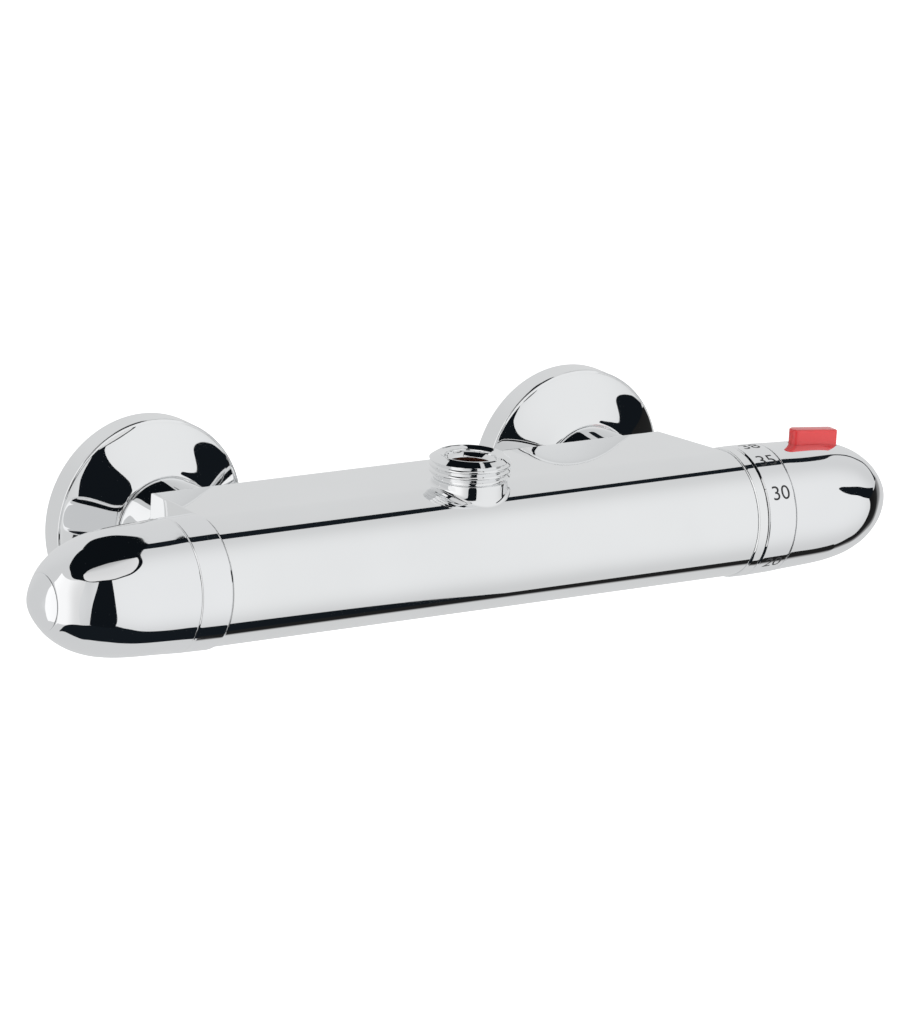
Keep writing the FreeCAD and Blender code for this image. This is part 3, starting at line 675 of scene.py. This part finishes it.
# ------------------------------------------------------------ handles
def shell_profile():
    out = spline(GRIP, 150)
    lip = [(103.74, 19.28), (103.752, 19.36), (103.79, 19.42), (103.86, 19.455)]
    out = [p for p in out if p[0] > 103.93 and p[0] < 144.12]
    end = [(144.17, 8.56), (144.22, 8.47), (144.25, 8.38)]
    inn = spline([(103.74, 17.17), (113.9, 16.67), (124.1, 15.98), (129.2, 14.99), (134.0, 13.06)], 24)
    mid = [(144.25, 7.4), (137.5, 7.4), (137.5, 2.2), (134.0, 2.2), (134.0, 4.6), (119.2, 4.6), (119.2, 7.05),
           (108.6, 7.05), (108.6, 9.3), (134.0, 9.3)]
    return divide(clean(lip + out + end + mid + inn[::-1]), 1.0)


def cap_profile():
    out = spline(CAPP, 60)
    out = [p for p in out if p[0] > 144.52]
    lip = [(144.35, 8.17), (144.37, 8.25), (144.43, 8.24)]
    return clean(lip + out + [(145.6, 0), (145.0, 5.7), (139.6, 5.9), (139.6, 7.35), (144.35, 7.35)])


def plan_outline(x0, x1, w, rc, n=22):
    """Plan of the button: round at its inner end, small corners at its outer end."""
    P = []
    for a in np.linspace(90, 270, n):
        P.append((x0 + w + w * math.cos(math.radians(a)), w * math.sin(math.radians(a))))
    for a in np.linspace(-90, 0, 8):
        P.append((x1 - rc + rc * math.cos(math.radians(a)), -w + rc + rc * math.sin(math.radians(a))))
    for a in np.linspace(0, 90, 8):
        P.append((x1 - rc + rc * math.cos(math.radians(a)), w - rc + rc * math.sin(math.radians(a))))
    return [(x, BAR_Y + y) for x, y in P]


SHELL = shell_profile()
o = obj("temp_grip", lathe_mesh("temp_grip", SHELL, segs=320))
cut(o, [prism_mesh("slot", plan_outline(113.4, 130.1, 2.3, 0.8), 11.0, 26.0)])
mark_sharp(o.data, 28)
o.data.polygons.foreach_set("use_smooth", [True] * len(o.data.polygons))
place("temp_grip", o, "temp_handle_shell")
place("flow_grip", lathe_mesh("flow_grip", SHELL, segs=320, flip=True), "flow_handle_shell")
CAP = cap_profile()
place("temp_cap", lathe_mesh("temp_cap", CAP), "temp_handle_cap")
place("flow_cap", lathe_mesh("flow_cap", CAP, flip=True), "flow_handle_cap")


# ------------------------------------------------------------ safety button
def make_button():
    w, x0, x1 = 2.1, 113.6, 129.9
    P = np.array(plan_outline(x0, x1, w, 0.6, 34))
    rim = spline([(112, 23.6), (115, 23.65), (119, 23.5), (124, 23.1), (128, 22.6), (132, 22.0)], 60)
    rx, rz = np.array(rim).T
    c = np.array([(x0 + x1) / 2, BAR_Y])

    def ztop(q):
        t = np.clip((q[:, 0] - x0) / (x1 - x0), 0, 1)
        v = (q[:, 1] - BAR_Y) / w
        crown = 0.16 * (1 - v * v) * np.sin(math.pi * np.clip(t * 1.05, 0, 1)) ** 0.7
        return np.interp(q[:, 0], rx, rz) - 0.17 + crown - 0.05
    m = len(P)
    sp = [np.array([q[0], BAR_Y]) for q in P]
    spine = np.array([[min(max(q[0], x0 + w), x1 - w), BAR_Y] for q in P])
    rings = [np.c_[P, np.full(m, 15.0)]]
    e = 0.38
    zr = ztop(P)
    for k in range(7):
        a = math.pi / 2 * k / 6
        inset = e * (1 - math.cos(a)) / w
        q = P + (spine - P) * inset
        rings.append(np.c_[q, ztop(q) - e * (1 - math.sin(a))])
    last = inset
    for k in range(1, 9):
        s = last + (0.985 - last) * k / 8
        q = P + (spine - P) * s
        rings.append(np.c_[q, ztop(q)])
    for z in np.linspace(15.0, 22.0, 6)[1:]:
        zz = np.minimum(np.full(m, z), ztop(P) - e - 0.1)
        rings.insert(len([r for r in rings if r[0, 2] < z]), np.c_[P, zz])
    rings = [rings[0]] + sorted(rings[1:6], key=lambda r: r[0, 2]) + rings[6:]
    verts = np.vstack(rings) * MM
    n = len(rings)
    faces = [(i * m + j, i * m + (j + 1) % m, (i + 1) * m + (j + 1) % m, (i + 1) * m + j)
             for i in range(n - 1) for j in range(m)]
    faces.append(tuple(range(m)))
    faces.append(tuple((n - 1) * m + j for j in range(m)))
    top = finish_mesh("button", verts, faces)
    mark_sharp(top, 30)
    o = obj("stop_button", top)
    cut(o, [lathe_mesh("c", [(14.0, 0), (14.0, 1.55), (18.6, 1.55), (18.6, 0)], c=(125.5, BAR_Y, 0), axis="z", segs=48)])
    mark_sharp(o.data, 30)
    foot = [prism_mesh("f", [(114.6, BAR_Y - 4.1), (121.6, BAR_Y - 4.1), (121.6, BAR_Y + 4.1), (114.6, BAR_Y + 4.1)],
                       14.4, 15.5, "z", 0.12),
            prism_mesh("f", [(105.2, BAR_Y - 2.5), (121.6, BAR_Y - 2.5), (121.6, BAR_Y + 2.5), (105.2, BAR_Y + 2.5)],
                       12.4, 14.4, "z", 0.2),
            prism_mesh("f", [(115.6, BAR_Y - 3.0), (121.6, BAR_Y - 3.0), (121.6, BAR_Y + 3.0), (115.6, BAR_Y + 3.0)],
                       13.0, 16.0, "z", 0.12)]
    me = joined("stop_button", [o.data] + foot)
    bpy.data.objects.remove(o)
    return me


place("stop_button", make_button(), "safety_button")


# ------------------------------------------------------------ inlet groups
ROS_OUT = [(-7.6, 30.69), (-7.873, 30.3), (-8.431, 29.4), (-9.176, 28.1), (-10.335, 26.0), (-11.425, 24.0),
           (-12.642, 21.8), (-13.83, 19.7), (-14.675, 18.2), (-15.26, 17.1), (-15.54, 16.5), (-15.66, 16.15)]


def rosette_profile():
    inn = []
    for i, (y, r) in enumerate(ROS_OUT):
        y0, r0 = ROS_OUT[max(i - 1, 0)]
        y1, r1 = ROS_OUT[min(i + 1, len(ROS_OUT) - 1)]
        dy, dr = y1 - y0, r1 - r0
        L = math.hypot(dy, dr)
        inn.append((y - dr / L * 1.2, r + dy / L * 1.2))
    inn = inn[:-3] + [(-14.4, NUT_R + 0.1)]
    edge = spline([(-ROS_RIM + 0.7, ROS_R), (-ROS_RIM + 0.2, ROS_R - 0.2), (-ROS_RIM, ROS_R - 0.7)], 12)
    a = [(0.0, ROS_R - 0.15), (-0.15, ROS_R)] + edge + spline(ROS_OUT, 120)[1:]
    a += [(-15.64, 15.97), (-15.56, 15.86), (-15.46, 15.8)]
    b = spline(inn, 50)[::-1]
    return divide(clean(a + b + [(-ROS_RIM + 1.0, ROS_R - 1.2), (0.0, ROS_R - 1.2)]), 0.8)


def tail_mesh(cx):
    """Eccentric union: front G 3/4 thread, offset middle, G 1/2 tail, both bores."""
    t34 = thread_r(1.814, G34, G34 - 1.05, 1.0, 0.14)
    t12 = thread_r(1.814, G12, G12 - 1.05, 1.0, 0.14)
    pf = [(-20.6, 8.0), (-20.6, 11.9)] + [(y, 13.0) for y in np.arange(-20.3, -8.6, 0.15)] + [(-8.6, 8.0)]
    front = lathe_mesh("f", pf, c=(cx, 0, 0), axis="y", segs=160, angle=60,
                       rfun=lambda p, t, r: np.full(len(p), r) if r < 12.5 else
                       np.minimum(t34(p, t), G34 - max(0, (-19.4 - t)) * 0.9))
    pt = [(-2.0, 7.5), (-2.0, 9.6)] + [(y, 10.2) for y in np.arange(-1.9, 17.9, 0.15)] + [(18.0, 9.3), (18.0, 7.5)]

    def rt(p, t, r):
        if r < 10.0:
            return np.full(len(p), r)
        lim = G12 - max(0, t - 16.6) * 0.8
        return np.minimum(t12(p, t), lim) if t > -0.4 else np.full(len(p), 9.6)
    tail = lathe_mesh("t", pt, c=(cx, 0, -10.0), axis="y", segs=160, angle=60, rfun=rt)
    P = [(cx + 13.6 * math.cos(math.radians(a)), 13.6 * math.sin(math.radians(a))) for a in np.linspace(0, 180, 60)]
    P += [(cx + 13.6 * math.cos(math.radians(a)), -10 + 13.6 * math.sin(math.radians(a)))
          for a in np.linspace(180, 360, 60)]
    mid = obj("m", prism_mesh("m", P, -9.0, -0.6, "y", 0.5))
    cut(mid, [lathe_mesh("c", [(-12.0, 0), (-12.0, 8.0), (-3.0, 8.0), (-3.0, 0)], c=(cx, 0, 0), axis="y", segs=72),
              lathe_mesh("c", [(-7.5, 0), (-7.5, 7.5), (3.0, 7.5), (3.0, 0)], c=(cx, 0, -10), axis="y", segs=72)])
    mark_sharp(mid.data, 26)
    me = joined("tail", [front, mid.data, tail])
    bpy.data.objects.remove(mid)
    return me


ROSP = rosette_profile()
NUT = rounded([(-31.8, 10.5), (-31.8, 14.7, 0.2), (-31.45, 15.35, 0.3), (-30.8, 15.7, 0.4), (-13.0, 15.7, 0.2),
               (-12.5, 15.2, 0.1), (-12.5, 13.26), (-25.8, 13.26), (-25.8, 10.5)])
for tag, cx in (("hot", -75.0), ("cold", 75.0)):
    place(tag + "_cover", lathe_mesh(tag + "_cover", ROSP, c=(cx, 0, 0), axis="y", segs=360), tag + "_rosette")
    place(tag + "_nut", lathe_mesh(tag + "_nut", divide(NUT, 1.2), c=(cx, 0, 0), axis="y", segs=256),
          tag + "_union_nut")
    place(tag + "_union", tail_mesh(cx), tag + "_s_union")


# ------------------------------------------------------------ printed scale
def numeral(text, deg, x, width, body="temp_handle"):
    """Digits printed around the band; deg is the angle above the horizontal front."""
    cu = bpy.data.curves.new("n", "FONT")
    cu.body = text
    cu.align_x, cu.align_y = "CENTER", "CENTER"
    cu.size = 1.0
    cu.resolution_u = 12
    o = obj("n", cu)
    bpy.context.view_layer.update()
    me = bpy.data.meshes.new_from_object(o.evaluated_get(bpy.context.evaluated_depsgraph_get()))
    bpy.data.objects.remove(o)
    co = np.array([v.co for v in me.vertices])[:, :2]
    lo, hi = co.min(0), co.max(0)
    k = width / (hi[0] - lo[0])
    ctr = (lo + hi) / 2
    bm = bmesh.new()
    bm.from_mesh(me)
    for v in bm.verts:
        v.co.x, v.co.y = (v.co.x - ctr[0]) * k, (v.co.y - ctr[1]) * k * 0.92
        v.co.z = 0
    bmesh.ops.triangulate(bm, faces=bm.faces)
    for _ in range(3):
        es = [e for e in bm.edges if e.calc_length() > 0.45]
        if es:
            bmesh.ops.subdivide_edges(bm, edges=es, cuts=1)
            bmesh.ops.triangulate(bm, faces=bm.faces)
    geom = bmesh.ops.extrude_face_region(bm, geom=bm.faces[:])
    up = {g for g in geom["geom"] if isinstance(g, bmesh.types.BMVert)}
    slope = (19.5 - 19.68) / (103.3 - 93.86)
    for v in bm.verts:
        X = x + v.co.x
        r = 19.68 + slope * (X - 93.86) + (0.014 if v in up else -0.05)
        a = math.radians(deg) + v.co.y / 19.6
        v.co = Vector((X, BAR_Y - r * math.cos(a), r * math.sin(a))) * MM
    bmesh.ops.recalc_face_normals(bm, faces=bm.faces)
    out = bpy.data.meshes.new("numeral_" + text)
    bm.to_mesh(out)
    bm.free()
    o = obj("numeral_" + text, out)
    out.materials.append(M_INK)
    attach(o, body)
    return o


for text, deg in (("38", 91.0), ("35", 64.0), ("30", 29.6), ("20", -39.7)):
    numeral(text, deg, 98.9, 6.1)

# ------------------------------------------------------------ stage
def emit(name, stops):
    """Card that glows evenly, or with brightness stops (position across the card, brightness)."""
    m = bpy.data.materials.new(name)
    m.use_nodes = True
    nt = m.node_tree
    nt.nodes.clear()
    out = nt.nodes.new("ShaderNodeOutputMaterial")
    e = nt.nodes.new("ShaderNodeEmission")
    dark = not hasattr(stops, "__len__") and stops < 0.1
    e.inputs["Color"].default_value = (0.7, 0.95, 1.25, 1) if dark else (1, 1, 1, 1)
    if hasattr(stops, "__len__"):
        at = nt.nodes.new("ShaderNodeAttribute")
        at.attribute_name = "across"
        r = ramp(nt, at.outputs["Fac"], stops)
        r.color_ramp.interpolation = "EASE"
        nt.links.new(r.outputs["Color"], e.inputs["Strength"])
    else:
        e.inputs["Strength"].default_value = stops
    nt.links.new(e.outputs[0], out.inputs["Surface"])
    m.cycles.emission_sampling = "NONE"
    return m


def hide_card(o):
    o.visible_camera = False
    o.visible_shadow = False


def card(name, one, two, radius, stops, n=90, m=14, soft=True, centre=(0.0, BAR_Y * MM, 0.0)):
    """Card on a sphere around a point, between two edges of (azimuth, elevation) in degrees.
    Azimuth 0 is straight out from the wall and 90 is towards +X."""
    A = np.array(spline(one, n) if soft and len(one) > 2 else spline([one[0], tuple((np.array(one[0]) + one[-1]) / 2), one[-1]], n))
    B = np.array(spline(two, n) if soft and len(two) > 2 else spline([two[0], tuple((np.array(two[0]) + two[-1]) / 2), two[-1]], n))
    verts, fade = [], []
    for j in range(m + 1):
        w = j / m
        q = A * (1 - w) + B * w
        az, el = np.radians(q[:, 0]), np.radians(q[:, 1])
        verts.append(np.c_[np.cos(el) * np.sin(az), -np.cos(el) * np.cos(az), np.sin(el)] * radius)
        fade += [w] * (n + 1)
    verts = np.vstack(verts) + np.array(centre)
    k = n + 1
    faces = [(j * k + i, j * k + i + 1, (j + 1) * k + i + 1, (j + 1) * k + i) for j in range(m) for i in range(n)]
    me = bpy.data.meshes.new(name)
    me.from_pydata([tuple(v) for v in verts], [], faces)
    at = me.attributes.new("across", "FLOAT", "POINT")
    at.data.foreach_set("value", fade)
    o = obj(name, me)
    me.materials.append(emit(name, stops))
    hide_card(o)
    return o


# light tent: pale walls all round, brighter where the lamps stand behind it
bpy.ops.mesh.primitive_uv_sphere_add(segments=96, ring_count=48, radius=8.0, location=(0, BAR_Y * MM, 0))
tent = bpy.context.object
tent.name = "tent"


def tent_material():
    m = bpy.data.materials.new("tent")
    m.use_nodes = True
    nt = m.node_tree
    nt.nodes.clear()
    out = nt.nodes.new("ShaderNodeOutputMaterial")
    e = nt.nodes.new("ShaderNodeEmission")
    e.inputs["Color"].default_value = (0.985, 0.995, 1.0, 1)
    tc = nt.nodes.new("ShaderNodeTexCoord")
    total = None
    # azimuth, elevation, upright stretch, reach in degrees, brightness added
    for az, el, squash, reach, amount in ((30, 8, 0.85, 72, 0.21), (-62, 0, 0.42, 34, 0.10), (150, 35, 1.0, 60, 0.05)):
        mp = nt.nodes.new("ShaderNodeMapping")
        mp.inputs["Scale"].default_value = (1, 1, squash)
        nt.links.new(tc.outputs["Object"], mp.inputs["Vector"])
        nm = nt.nodes.new("ShaderNodeVectorMath")
        nm.operation = "NORMALIZE"
        nt.links.new(mp.outputs[0], nm.inputs[0])
        dp = nt.nodes.new("ShaderNodeVectorMath")
        dp.operation = "DOT_PRODUCT"
        nt.links.new(nm.outputs[0], dp.inputs[0])
        a, b = math.radians(az), math.radians(el)
        dp.inputs[1].default_value = (math.cos(b) * math.sin(a), -math.cos(b) * math.cos(a), math.sin(b))
        mr = nt.nodes.new("ShaderNodeMapRange")
        mr.interpolation_type = "SMOOTHERSTEP"
        mr.inputs["From Min"].default_value = math.cos(math.radians(reach))
        mr.inputs["From Max"].default_value = 1.0
        mr.inputs["To Min"].default_value = 0.0
        mr.inputs["To Max"].default_value = amount
        nt.links.new(dp.outputs["Value"], mr.inputs["Value"])
        ad = nt.nodes.new("ShaderNodeMath")
        ad.operation = "ADD"
        nt.links.new(mr.outputs["Result"], ad.inputs[0])
        if total is None:
            ad.inputs[1].default_value = 0.685
        else:
            nt.links.new(total, ad.inputs[1])
        total = ad.outputs[0]
    nt.links.new(total, e.inputs["Strength"])
    nt.links.new(e.outputs[0], out.inputs["Surface"])
    m.cycles.emission_sampling = "NONE"
    return m


tent.data.materials.append(tent_material())
tent.visible_camera = False
card("lamp_left", [(-110, 50), (-98, 30), (-89.5, 13), (-85, 0), (-84.5, -15), (-89, -32), (-102, -49)],
     [(-44, 44), (-43, 25), (-42, 0), (-42, -25), (-44, -46)], 7.7, [(0.0, 1.12), (0.5, 1.05), (1.0, 0.78)], n=80, m=10)
# roof opening, dark round the lamp, and the thin dark rim under the lamp
LH = (-0.125, -0.080, 0.0)
card("roof_dark", [(-180, 57), (-165, 59.5), (-150, 60), (-120, 60), (-90, 57), (-70, 50), (-55, 46), (-20, 42), (0, 41.5),
                   (20, 45), (40, 55), (59, 63.5), (72, 65.6), (90, 65.4), (108, 62.8), (120, 60), (133, 53.5), (146, 44.5),
                   (157, 39.5), (168, 46), (180, 57)],
     [(-180, 90), (-90, 90), (0, 90), (90, 90), (180, 90)], 0.74, 0.006, n=200, m=12, centre=LH)
card("roof_lamp", [(-56, 56), (-49, 48.5), (-22, 44.2), (0, 43.4), (21, 47.6), (40, 57.5), (56, 64.5)],
     [(-56, 56.5), (-50, 64), (-30, 71.5), (0, 74), (26, 72.5), (44, 69.0), (56, 65)], 0.72,
     [(0.0, 0.80), (0.6, 0.74), (1.0, 0.5)], n=120, m=16, centre=LH)
card("roof_line", [(88, 68), (87, 62), (89.5, 59), (94, 57), (96, 54), (99, 50), (104, 46), (110, 42), (113.2, 38), (114.6, 30), (115, 21),
                   (112, 10), (104, 4)],
     [(110, 68), (108, 62), (106.8, 58), (107, 54), (109.5, 50), (112, 46), (114, 42), (115.4, 38), (117, 30), (117.6, 21), (116, 9),
      (111, 2)], 7.2, 0.012, n=110, m=4)
# lower dark opening
card("floor_dark", [(-112, -61), (-90, -56), (-72, -49), (-36, -44), (5, -43), (25, -50), (50, -53.2), (60, -53.9),
                    (75, -56.4), (84, -57), (96, -57.8)],
     [(-112, -61.2), (-90, -65), (-81, -74), (-61, -79), (0, -80), (36, -77), (58, -74), (84, -66), (96, -58.6)],
     7.6, 0.011, n=160, m=12)
card("floor_line", [(82.0, -48), (82.4, -54), (82.8, -58), (82, -62)], [(108, -48), (106, -54), (105.5, -58), (105, -62)], 7.5,
     [(0.0, 0.015), (0.62, 0.015), (1.0, 0.62)], n=40, m=8)
# gap at the right-hand corner of the tent
card("corner_wedge", [(50.2, 22.6), (50.4, 19.0), (53, 14.2), (59, 8.8), (67, 3), (77, -2)],
     [(50.3, 23.6), (51.6, 25.0), (57, 23.4), (66, 18.2), (78, 10.5), (90, 5)],
     7.5, 0.009, n=60, m=6)
card("corner_band", [(75, 3), (77.5, -6), (79, -14), (81, -30), (84.5, -46), (86, -56)],
     [(118, 3), (109, -6), (105, -14), (104, -30), (103, -46), (101, -56)],
     7.55, [(0.0, 0.01), (0.5, 0.02), (0.8, 0.25), (1.0, 0.66)], n=80, m=12)
# slit for the camera
me = bpy.data.meshes.new("slit")
edge_l = [(-0.545, -0.77), (-0.522, -0.35), (-0.487, -0.03), (-0.440, 0.20), (-0.402, 0.42), (-0.385, 0.90)]
edge_r = [(-0.150, 0.90), (-0.150, 0.0), (-0.115, -0.25), (-0.085, -0.42), (-0.060, -0.77)]
rim = spline(edge_l, 24) + spline(edge_r, 24)
me.from_pydata([(x, -0.800, z) for x, z in rim], [], [tuple(range(len(rim)))])
slit = obj("slit", me)
me.materials.append(emit("slit", 0.008))
hide_card(slit)

# pale floor, far below, bright enough to run into the white behind the valve
me = bpy.data.meshes.new("floor")
me.from_pydata([(-7, -7, -0.6), (7, -7, -0.6), (7, 7, -0.6), (-7, 7, -0.6)], [], [(0, 1, 2, 3)])
floor = obj("floor", me)
fm = bpy.data.materials.new("floor_white")
fm.use_nodes = True
fb = fm.node_tree.nodes["Principled BSDF"]
fb.inputs["Base Color"].default_value = (0.92, 0.92, 0.92, 1)
fb.inputs["Roughness"].default_value = 0.9
fb.inputs["Emission Color"].default_value = (1, 1, 1, 1)
fb.inputs["Emission Strength"].default_value = 0.6
fm.cycles.emission_sampling = "NONE"
me.materials.append(fm)
floor.visible_glossy = False


# ------------------------------------------------------------ camera
cam = bpy.data.cameras.new("camera")
co = bpy.data.objects.new("camera", cam)
bpy.context.scene.collection.objects.link(co)
cam.sensor_fit, cam.sensor_width = "AUTO", 36.0
cam.lens = 6407.711 / 1030 * 36
cam.clip_start, cam.clip_end = 0.05, 60
fwd = Vector((0.53716457, 0.79849282, -0.27177829))
right = Vector((0.83656828, -0.5455077, 0.05074305))
up = Vector((0.10773919, 0.25461847, 0.96102118))
R = Matrix((right, up, -fwd)).transposed().to_4x4()
co.matrix_world = Matrix.Translation(Vector((-1010.84180501, -1561.26381736, 518.80717717)) * MM) @ R
bpy.context.scene.camera = co

# white studio
w = bpy.data.worlds.new("studio")
bpy.context.scene.world = w
w.use_nodes = True
w.node_tree.nodes["Background"].inputs["Color"].default_value = (1, 1, 1, 1)
w.node_tree.nodes["Background"].inputs["Strength"].default_value = 1.0
w.cycles.sampling_method = "NONE"
bpy.context.scene.view_settings.view_transform = "Standard"
